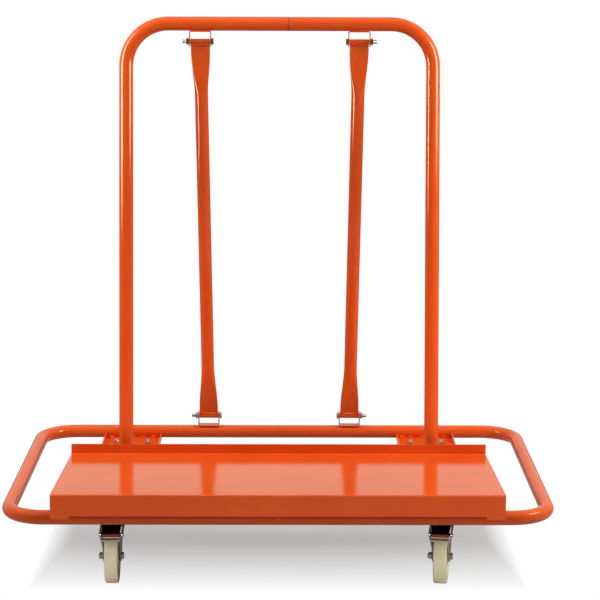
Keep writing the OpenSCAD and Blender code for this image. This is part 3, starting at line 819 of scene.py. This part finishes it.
@dataclass
class BraceSet:
    """Two braces of round tube with flattened ends, on barrels and bolted brackets.

    Attributes:
        tube_r: Radius of the tube.
        wall: Wall of the tube.
        flat_w: Width of the flattened ends.
        flat_t: Thickness of the flattened ends.
        flat_l: Length of the flattened ends.
        edge_swell: Added thickness of those ends' folded edges, as a share of their middle's.
        taper_l: Length of the change from round to flat.
        foot_x: Distance of the lower ends from the middle.
        top_x: Distance of the upper ends from the middle.
        foot_at: Lower bolt in Y and Z.
        top_at: Upper bolt in Y and Z.
        barrel_r: Radius of the cross barrels.
        barrel_bead: Bead between a barrel and its brace.
        bracket_w: Outside width of the brackets.
        bracket_bead: Bead between a bracket and its tube.
        bead_inset: Distance of the beads' ends from the pieces' sides.
        reach: Distance from a bolt to its bracket's web.
        nut_h: Height of the bolts' nuts.
        spare: Length of thread beyond the nuts.
    """

    tube_r: float = 15.0
    wall: float = 2.0
    flat_w: float = 43.5
    flat_t: float = 6.0
    flat_l: float = 14.0
    edge_swell: float = 1.5
    taper_l: float = 105.0
    foot_x: float = 168.0
    top_x: float = 180.0
    foot_at: Span = (356.1, 201.2)
    top_at: Span = (220.066, 1101.903)
    barrel_r: float = 6.0
    barrel_bead: Bead = Bead(1.7)
    bracket_w: float = 50.0
    bracket_bead: Bead = Bead(1.5)
    bead_inset: float = 3.0
    reach: float = 24.0
    nut_h: float = 6.4
    spare: float = 9.0

    @property
    def rise(self) -> Vector:
        """Line from a lower bolt to the upper one, in the cart's side view."""
        return Vector((0.0, self.top_at[0] - self.foot_at[0], self.top_at[1] - self.foot_at[1]))

    def rows(self) -> list[Span]:
        """Work out the rows of the tube.

        Returns:
            Height along the brace and share of flattening, row by row.
        """
        steps, gap = 20, 0.2
        start, stop = self.barrel_r + gap, self.rise.length - self.barrel_r - gap
        shares = [i / steps for i in range(steps + 1)]
        eased = [(u, u * u * (3 - 2 * u)) for u in shares]
        low = [(start + self.flat_l + self.taper_l * u, 1 - ease) for u, ease in eased]
        high = [(stop - self.flat_l - self.taper_l * (1 - u), ease) for u, ease in eased]
        return [(start, 1.0), *low, *high, (stop, 1.0)]

    def tube(self, side: Side) -> BMesh:
        """Draw one brace as a pressed tube, outside and inside.

        Args:
            side: Side of the cart.

        Returns:
            The brace's mesh in the row frame.
        """
        bm = bmesh.new()
        sides = 72
        rise = self.rise
        up = rise.normalized()
        face = up.cross(X_AXIS)
        lean = side.value * (self.top_x - self.foot_x) / rise.length
        foot = Vector((side.value * self.foot_x, *self.foot_at))
        mouths: list[list[bmesh.types.BMEdge]] = []
        for inset in (0.0, min(self.wall, self.flat_t / 3)):
            ring = bmesh.ops.create_circle(bm, segments=sides, radius=MM)["verts"]
            edges = edges_at(ring)
            angles = [math.atan2(vert.co.y, vert.co.x) for vert in ring]
            mouths.append(edges)
            for i, (height, press) in enumerate(self.rows()):
                if i:
                    ring, edges = next_ring(bm, edges)
                half_w = self.tube_r + press * (self.flat_w / 2 - self.tube_r) - inset
                half_t = self.tube_r + press * (self.flat_t / 2 - self.tube_r) - inset
                power = 1 / (1 + press)
                middle = foot + X_AXIS * (lean * height) + up * height
                for vert, angle in zip(ring, angles):
                    c, s = math.cos(angle), math.sin(angle)
                    share = math.copysign(abs(c) ** power, c)
                    swell = 1 + self.edge_swell * press * share ** 4
                    t = half_t * swell * math.copysign(abs(s) ** power, s)
                    vert.co = (middle + X_AXIS * (half_w * share) + face * t) * MM
            mouths.append(edges)
        bmesh.ops.bridge_loops(bm, edges=mouths[0] + mouths[2])
        bmesh.ops.bridge_loops(bm, edges=mouths[1] + mouths[3])
        return bm

    def ends(self) -> list[tuple[Vector, float]]:
        """Bolt of each bracket, with the direction of its web along Z."""
        found = []
        for side in Side:
            found.append((Vector((side.value * self.foot_x, *self.foot_at)), -1.0))
            found.append((Vector((side.value * self.top_x, *self.top_at)), 1.0))
        return found

    def bracket_welds(self, dresser: Dresser, frame: TubeFrame, hoop: Hoop) -> None:
        """Weld each bracket's web to the rear rail or the top bar, front and back."""
        bm = bmesh.new()
        stand, gap, sink = 7.0, 0.2, 0.6
        half = X_AXIS * (self.bracket_w / 2 - self.bead_inset)
        for bolt, web in self.ends():
            tube_r = frame.tube_r if web < 0 else hoop.tube_r
            drop = tube_r - math.sqrt(tube_r ** 2 - stand ** 2)
            rise = web * (self.reach + gap + drop * sink)
            for edge in (-1.0, 1.0):
                middle = bolt + Vector((0.0, edge * stand, rise))
                self.bracket_bead.lay(bm, middle - half, middle + half)
        dresser.piece("bracket_welds", bm, Slot.PAINT)

    def barrel_welds(self, dresser: Dresser) -> None:
        """Weld each barrel across the flattened end of its brace, front and back."""
        bm = bmesh.new()
        lift, gap = 0.4, 0.6
        up = self.rise.normalized()
        face = X_AXIS.cross(up)
        half = X_AXIS * (self.flat_w / 2 - self.bead_inset)
        for bolt, web in self.ends():
            root = bolt - up * (web * (self.barrel_r + lift))
            for edge in (-1.0, 1.0):
                middle = root + face * (edge * (self.flat_t / 2 + gap))
                self.barrel_bead.lay(bm, middle - half, middle + half)
        dresser.piece("barrel_welds", bm, Slot.PAINT)

    def bolt_threads(self, dresser: Dresser, frame: TubeFrame) -> None:
        """Thread the bare ends of the brace bolts."""
        bm = bmesh.new()
        for bolt, _ in self.ends():
            out = X_AXIS * math.copysign(1.0, bolt.x)
            root = bolt + out * (self.bracket_w / 2 + self.nut_h)
            cut_thread(bm, root, out, frame.bolt_r, BOLT_PITCH, self.spare)
        dresser.piece("brace_bolt_threads", bm, Slot.ZINC, sharp_deg=THREAD_SHARP_DEG)

    def build(self, dresser: Dresser, frame: TubeFrame, hoop: Hoop) -> list[Piece]:
        """Draw the braces, dress their fittings and add welds and threads.

        Args:
            dresser: Holder of the materials.
            frame: Base that the braces stand on.
            hoop: Hoop that they hold up.

        Returns:
            The two braces.
        """
        dresser.dress(Slot.PAINT, ["upper_brackets", "lower_brackets"])
        dresser.dress(Slot.PAINT, [f"brace_barrels_{side.word}" for side in Side])
        dresser.dress(Slot.ZINC, ["brace_bolts", "brace_nuts"])
        self.bracket_welds(dresser, frame, hoop)
        self.barrel_welds(dresser)
        self.bolt_threads(dresser, frame)
        return [
            dresser.piece(
                f"pressed_brace_{side.word}", self.tube(side), Slot.PAINT,
                replaces=[f"brace_{side.word}"])
            for side in Side]


@dataclass
class Caster:
    """One swivel caster with its plate bolts.

    Attributes:
        corner: Corner that it stands at.
        axis_x: Distance of the swivel axis from the middle.
        axis_front_y: Swivel axis of the front casters.
        axis_rear_y: Swivel axis of the rear casters.
        trail: Distance of the axle behind the swivel axis.
        axle_z: Height of the axle.
        fork_half: Half of the fork's outside width at the axle.
        axle_r: Radius of the axle bolt.
        axle_nut_h: Height of the axle nut.
        axle_spare: Length of thread beyond the axle nut.
        pitch: Bolt spacing of the plate across and along the cart.
    """

    corner: Corner
    axis_x: float = 347.0
    axis_front_y: float = -240.9
    axis_rear_y: float = 243.1
    trail: float = 38.0
    axle_z: float = 57.0
    fork_half: float = 19.1
    axle_r: float = 4.0
    axle_nut_h: float = 7.6
    axle_spare: float = 2.0
    pitch: Span = (73.0, 77.0)

    @property
    def axis(self) -> Vector:
        """Foot of the swivel axis on the floor."""
        side = -1.0 if self.corner.word.endswith("left") else 1.0
        y = self.axis_front_y if self.corner.braked else self.axis_rear_y
        return Vector((side * self.axis_x, y, 0.0))

    def axle_thread(self, dresser: Dresser) -> None:
        """Thread the bare end of the axle bolt."""
        bm = bmesh.new()
        turn = Matrix.Rotation(self.corner.turn, 3, "Z")
        nut_end = -self.fork_half - self.axle_nut_h
        root = self.axis + turn @ Vector((nut_end, -self.trail, self.axle_z))
        cut_thread(bm, root, turn @ -X_AXIS, self.axle_r, AXLE_PITCH, self.axle_spare)
        word = self.corner.word
        dresser.piece(
            f"axle_thread_{word}", bm, Slot.ZINC, f"swivel_{word}", sharp_deg=THREAD_SHARP_DEG)

    def plate_threads(self, dresser: Dresser, frame: TubeFrame) -> None:
        """Thread the bare ends of the plate bolts, above their nuts."""
        bm = bmesh.new()
        across, along = self.pitch[0] / 2, self.pitch[1] / 2
        z = frame.channel_floor + frame.nut_h
        for x in (-across, across):
            for y in (-along, along):
                root = self.axis + Vector((x, y, z))
                cut_thread(bm, root, Z_AXIS, frame.bolt_r, BOLT_PITCH, frame.bolt_spare)
        dresser.piece(
            f"plate_bolt_threads_{self.corner.word}", bm, Slot.ZINC, sharp_deg=THREAD_SHARP_DEG)

    def build(self, dresser: Dresser, frame: TubeFrame) -> None:
        """Dress the caster's nodes and add its threads."""
        parts = {
            Slot.ZINC: ["caster_plate", "fork", "axle_bolt", "axle_nut"],
            Slot.STEEL: ["kingpin", "swivel_balls", "wheel_bush"],
            Slot.NYLON: ["wheel"],
        }
        if self.corner.braked:
            # The pedals get zinc with painted shade on their upper part
            parts[Slot.GRIP] = ["brake_pedal"]
            parts[Slot.STEEL].append("brake_pin")
        for slot, names in parts.items():
            dresser.dress(slot, [f"{name}_{self.corner.word}" for name in names])
        self.axle_thread(dresser)
        self.plate_threads(dresser, frame)


@dataclass(frozen=True)
class SoftBox:
    """An area lamp that faces the cart.

    Attributes:
        name: Name of the lamp.
        at: Place in metres.
        size: Width and height in metres.
        watts: Power.
        aim_at: Point that it faces, in metres.
        spread_deg: Angle that its light fans out over.
        mirrored: True for a strip that shows only in reflections, False for a box that only lights.
        reach: Pieces that its light reaches.
    """

    name: str
    at: Point
    size: Span
    watts: float
    aim_at: Point = (0.0, 0.0, 0.45)
    spread_deg: float = 180.0
    mirrored: bool = False
    reach: Reach = Reach.ALL

    def fade(self, data: bpy.types.AreaLight) -> None:
        """Warm a strip and let it fade out over its lowest fifth.

        Args:
            data: Lamp data of the strip.
        """
        tree = fresh_tree(data)
        place = parts_of(tree, "ShaderNodeNewGeometry", "Parametric")
        glow = add_node(tree, "ShaderNodeEmission", {
            "Color": linear("#FFF1CF"), "Strength": ramp(tree, place["Y"], (0.0, 0.2))})
        add_node(tree, "ShaderNodeOutputLight", {"Surface": glow.outputs["Emission"]})

    def hang(self, pieces: Sequence[Piece]) -> None:
        """Hang the lamp.

        Args:
            pieces: Pieces that it is linked to, if its light doesn't reach all.
        """
        data = bpy.data.lights.new(self.name, "AREA")
        data.shape, data.size, data.size_y, data.energy = "RECTANGLE", *self.size, self.watts
        data.spread = math.radians(self.spread_deg)
        if self.mirrored:
            self.fade(data)
        lamp = bpy.data.objects.new(self.name, data)
        lamp.visible_glossy, lamp.visible_diffuse = self.mirrored, not self.mirrored
        bpy.context.scene.collection.objects.link(lamp)
        aim = Vector(self.aim_at) - Vector(self.at)
        turn = aim.to_track_quat("-Z", "Y").to_matrix().to_4x4()
        lamp.matrix_world = Matrix.Translation(self.at) @ turn
        linked = bpy.data.collections.new(f"{self.name}_pieces")
        for piece in pieces:
            linked.objects.link(piece)
        for held in linked.collection_objects:
            held.light_linking.link_state = self.reach.state
        # An empty collection leaves the light on every piece
        lamp.light_linking.receiver_collection = linked


LAMPS = (
    SoftBox("left_box", (-1.3, -0.1, 1.35), (0.5, 1.4), 16.0),
    SoftBox("right_box", (1.6, -0.35, 1.35), (0.8, 1.4), 28.0),
    SoftBox(
        "key_box", (0.0, -1.6, 3.0), (1.4, 1.4), 1.7,
        aim_at=(0.0, 0.2, 1.05), spread_deg=40.0),
    SoftBox(
        "low_box", (0.0, -3.0, 0.14), (2.4, 0.2), 1.7,
        aim_at=(0.0, 0.0, 0.0), spread_deg=30.0, reach=Reach.PAST_LOOP),
    SoftBox(
        "low_fill", (0.0, -3.0, 0.14), (2.4, 0.2), 0.5,
        aim_at=(0.0, 0.0, 0.0), spread_deg=30.0),
    SoftBox("top_box", (0.0, -0.1, 3.4), (1.8, 1.8), 29.0),
    SoftBox("rear_box", (0.0, 3.2, 2.2), (2.0, 1.5), 30.0),
    SoftBox(
        "left_strip", (-0.95, -0.06, 1.28), (0.35, 1.24), 9.5,
        aim_at=(-0.3, 0.1, 1.28), spread_deg=110.0, mirrored=True),
    SoftBox(
        "right_strip", (1.5, -0.4, 1.38), (0.7, 1.1), 15.0,
        aim_at=(0.0, 0.15, 1.28), spread_deg=110.0, mirrored=True),
    SoftBox(
        "brace_strip", (-0.95, -0.06, 0.72), (0.35, 0.4), 3.0,
        aim_at=(0.0, 0.2, 1.0), spread_deg=110.0, mirrored=True, reach=Reach.BRACES),
    SoftBox(
        "weld_strip", (0.0, -1.2, 2.2), (2.4, 0.5), 100.0,
        aim_at=(0.0, 0.3, 0.2), mirrored=True, reach=Reach.WELDS),
    SoftBox(
        "caster_strip", (0.0, -1.7, 0.3), (2.4, 0.4), 12.0,
        aim_at=(0.0, 0.0, 0.1), mirrored=True, reach=Reach.CASTERS),
)


@dataclass
class Studio:
    """White sweep with soft lamps, and the camera at the photograph's viewing angle.

    Attributes:
        camera_at: Place of the camera, in metres.
        lens_mm: Focal length on a 36 mm sensor.
        tilt: Camera's look downwards, in radians.
        yaw: Camera's look towards the right, in radians.
        roll: Camera's roll, in radians.
        shift_y: Vertical shift of the frame.
        floor_r: Radius of the floor, in metres.
        clear_x: Where the shadow painted under the cart starts and stops to clear at its sides,
            from the middle.
        clear_front: The same in front of the cart, along Y.
        clear_rear: The same behind the cart, along Y.
        floor_share: Share of the floor's own glow, in the painted shadow and clear of it.
        floor_glow: Strength of that glow: dimmed in the painted shadow, white clear of it.
        floor_mirrored: Share of the white floor in reflections.
        ambient: Strength of the light from all round.
        sky_strength: Strength of the mirrored surround, before the cart and behind it.
    """

    camera_at: Point = (0.0109, -4.3295, 1.3597)
    lens_mm: float = 120.33
    tilt: float = 0.1492
    yaw: float = 0.008
    roll: float = 0.0038
    shift_y: float = -0.12
    floor_r: float = 14.0
    clear_x: Span = (0.465, 0.52)
    clear_front: Span = (0.0, -0.34)
    clear_rear: Span = (0.2, 0.45)
    floor_share: Span = (0.8, 1.0)
    floor_glow: Span = (0.51, 1.0)
    floor_mirrored: float = 0.12
    ambient: float = 0.08
    sky_strength: Span = (0.05, 0.64)

    def clear_of_shade(self, tree: Tree) -> Socket:
        """Tell how far a point of the floor is clear of the shadow painted under the cart.

        Args:
            tree: Tree of the floor's material.

        Returns:
            Socket that runs from 0 under the cart to 1 where its painted shadow has cleared.
        """
        place = parts_of(tree, "ShaderNodeTexCoord", "Object")
        beside = ramp(tree, calc(tree, "ABSOLUTE", place["X"]), self.clear_x)
        before = ramp(tree, place["Y"], self.clear_front)
        behind = ramp(tree, place["Y"], self.clear_rear)
        return calc(tree, "MAXIMUM", calc(tree, "MAXIMUM", beside, before), behind)

    def sweep(self) -> bpy.types.Material:
        """Make the floor's material.

        Returns:
            White to the camera clear of the cart, with a painted shadow of dimmer glow under it
            over a little real shading, and greyer in what it lights and mirrors.
        """
        material = bpy.data.materials.new("white_sweep")
        tree = fresh_tree(material)
        path = add_node(tree, "ShaderNodeLightPath")
        past_painted_shadow = self.clear_of_shade(tree)
        matte = add_node(tree, "ShaderNodeBsdfDiffuse", {"Color": linear("#F8F8F8")})
        # Painted shadow: the glow is grey under the cart and white clear of it
        glow = add_node(tree, "ShaderNodeEmission", {
            "Color": linear(WHITE), "Strength": ramp(tree, past_painted_shadow, (0.0, 1.0), self.floor_glow)})
        bright = mix(
            tree, ramp(tree, past_painted_shadow, (0.0, 1.0), self.floor_share),
            matte.outputs["BSDF"], glow.outputs["Emission"])
        mirrored = mirror_ray(tree, path)
        tone = blend(tree, mirrored, linear("#C0C0C0"), linear("#808080"))
        dim = add_node(tree, "ShaderNodeBsdfDiffuse", {"Color": tone})
        # What a matt surface has scattered stays dim, so that it makes no bright specks
        unscattered = calc(tree, "GREATER_THAN", 0.5, path.outputs["Diffuse Depth"])
        shown = calc(
            tree, "MULTIPLY_ADD", calc(tree, "MULTIPLY", mirrored, unscattered),
            self.floor_mirrored, path.outputs["Is Camera Ray"])
        surface = mix(tree, shown, dim.outputs["BSDF"], bright)
        add_node(tree, "ShaderNodeOutputMaterial", {"Surface": surface})
        return material

    def floor(self) -> None:
        """Lay the pale floor."""
        bm = bmesh.new()
        bmesh.ops.create_circle(bm, cap_ends=True, segments=96, radius=self.floor_r)
        mesh = bpy.data.meshes.new("studio_floor")
        bm.to_mesh(mesh)
        bm.free()
        mesh.materials.append(self.sweep())
        floor = bpy.data.objects.new("studio_floor", mesh)
        bpy.context.scene.collection.objects.link(floor)

    def world(self) -> None:
        """Set the surround: white to the camera, and graded towards a warm back in reflections."""
        world = bpy.data.worlds.new("white_surround")
        bpy.context.scene.world = world
        tree = fresh_tree(world)
        path = add_node(tree, "ShaderNodeLightPath")
        heading = parts_of(tree, "ShaderNodeTexCoord", "Generated")
        height_weight, grade_span, warm_span = 0.9, (-0.4, 0.8), (0.4, 0.8)
        depth = calc(tree, "MULTIPLY_ADD", heading["Z"], height_weight, heading["Y"])
        tint = blend(tree, ramp(tree, depth, warm_span), linear(WHITE), linear("#FFFFEC"))
        graded = ramp(tree, depth, grade_span, self.sky_strength)
        lit, shown, seen = (
            add_node(tree, "ShaderNodeBackground", {"Color": colour, "Strength": strength})
            for colour, strength in (
                (linear(WHITE), self.ambient), (tint, graded), (linear(WHITE), 1.0)))
        inner = mix(tree, mirror_ray(tree, path), lit.outputs[0], shown.outputs[0])
        outer = mix(tree, path.outputs["Is Camera Ray"], inner, seen.outputs[0])
        add_node(tree, "ShaderNodeOutputWorld", {"Surface": outer})

    def camera(self) -> None:
        """Set the camera where the photograph was taken from."""
        data = bpy.data.cameras.new("photo_camera")
        data.sensor_width, data.lens, data.shift_y = 36.0, self.lens_mm, self.shift_y
        data.clip_end = 100.0
        camera = bpy.data.objects.new("photo_camera", data)
        bpy.context.scene.collection.objects.link(camera)
        level = Vector((math.cos(self.yaw), -math.sin(self.yaw), 0.0))
        forward = Vector((math.sin(self.yaw), math.cos(self.yaw), 0.0))
        ahead = forward * math.cos(self.tilt) - Z_AXIS * math.sin(self.tilt)
        upright = level.cross(ahead)
        right = level * math.cos(self.roll) + upright * math.sin(self.roll)
        up = upright * math.cos(self.roll) - level * math.sin(self.roll)
        turn = Matrix((right, up, -ahead)).transposed().to_4x4()
        camera.matrix_world = Matrix.Translation(self.camera_at) @ turn
        bpy.context.scene.camera = camera

    def build(self, linked: Mapping[Reach, Sequence[Piece]]) -> None:
        """Set up floor, surround, lamps and camera.

        Args:
            linked: Pieces that lamps of a reach are linked to.
        """
        bpy.context.scene.view_settings.view_transform = "Standard"
        self.floor()
        self.world()
        for box in LAMPS:
            box.hang(linked.get(box.reach, ()))
        self.camera()


def main() -> None:
    """Load the frame, dress the cart piece by piece and set the studio."""
    logging.basicConfig(level=logging.INFO, format="%(name)s: %(message)s")
    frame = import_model()
    finishes = {
        Slot.PAINT: PowderCoat(),
        Slot.SHEET: SheetCoat(),
        Slot.ZINC: ZincPlate(),
        Slot.GRIP: GrippedZinc(),
        Slot.STEEL: BlackOxide(),
        Slot.NYLON: CastNylon(),
    }
    materials = {slot: finish.build() for slot, finish in finishes.items()}
    dresser = Dresser(frame["nodes"], materials)
    tube_frame, hoop = TubeFrame(), Hoop()
    tube_frame.build(dresser)
    LippedDeck().build(dresser, tube_frame)
    hoop.build(dresser, tube_frame)
    braces = BraceSet().build(dresser, tube_frame, hoop)
    dresser.dress(Slot.ZINC, ["caster_bolts", "caster_nuts"])
    for corner in Corner:
        Caster(corner).build(dresser, tube_frame)
    welds = [piece for piece in bpy.context.scene.objects if piece.name.endswith("_welds")]
    plated = ("fork_", "axle_", "brake_pedal_")
    Studio().build({
        Reach.PAST_LOOP: [dresser.nodes[f"base_loop_{side.word}"] for side in Side],
        Reach.BRACES: braces,
        Reach.WELDS: [*welds, dresser.nodes["caster_nuts"]],
        Reach.CASTERS: [node for name, node in dresser.nodes.items() if name.startswith(plated)],
    })


if __name__ == "__main__":
    main()
